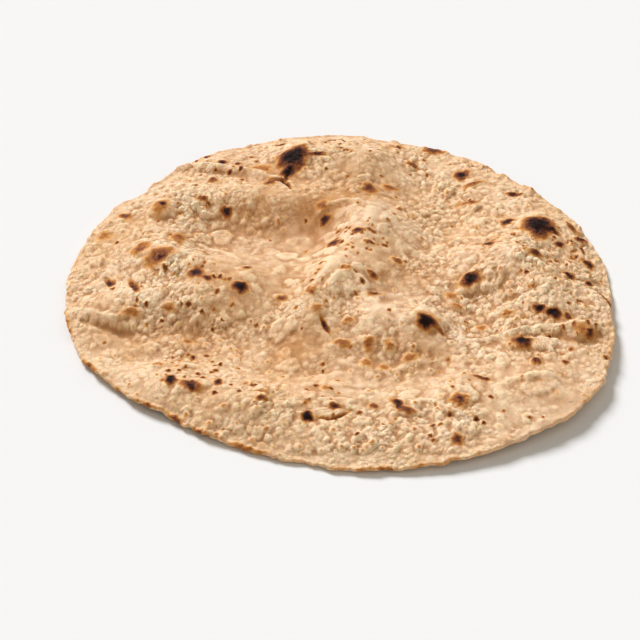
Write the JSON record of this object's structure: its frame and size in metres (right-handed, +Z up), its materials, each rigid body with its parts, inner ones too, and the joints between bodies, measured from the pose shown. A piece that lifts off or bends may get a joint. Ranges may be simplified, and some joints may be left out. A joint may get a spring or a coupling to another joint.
{
  "type": "roti",
  "caption": "Round unleavened flatbread, griddle-baked: a thin wavy sheet with puffed hills, small blisters and charred spots, lying flat for serving on a plate, tray or table.",
  "frame": {"origin": "middle of the roti's outline, on the flat surface that it lies on", "axes": "+Z up through the sheet, from the side that lies on the table to the puffed side; +X to the right and +Y to the back"},
  "size_m": [0.1974, 0.1948, 0.0155],
  "materials": {
    "baked_dough": "matte"
  },
  "bodies": {
    "root": {"roti": "baked_dough"}
  },
  "joints": []
}
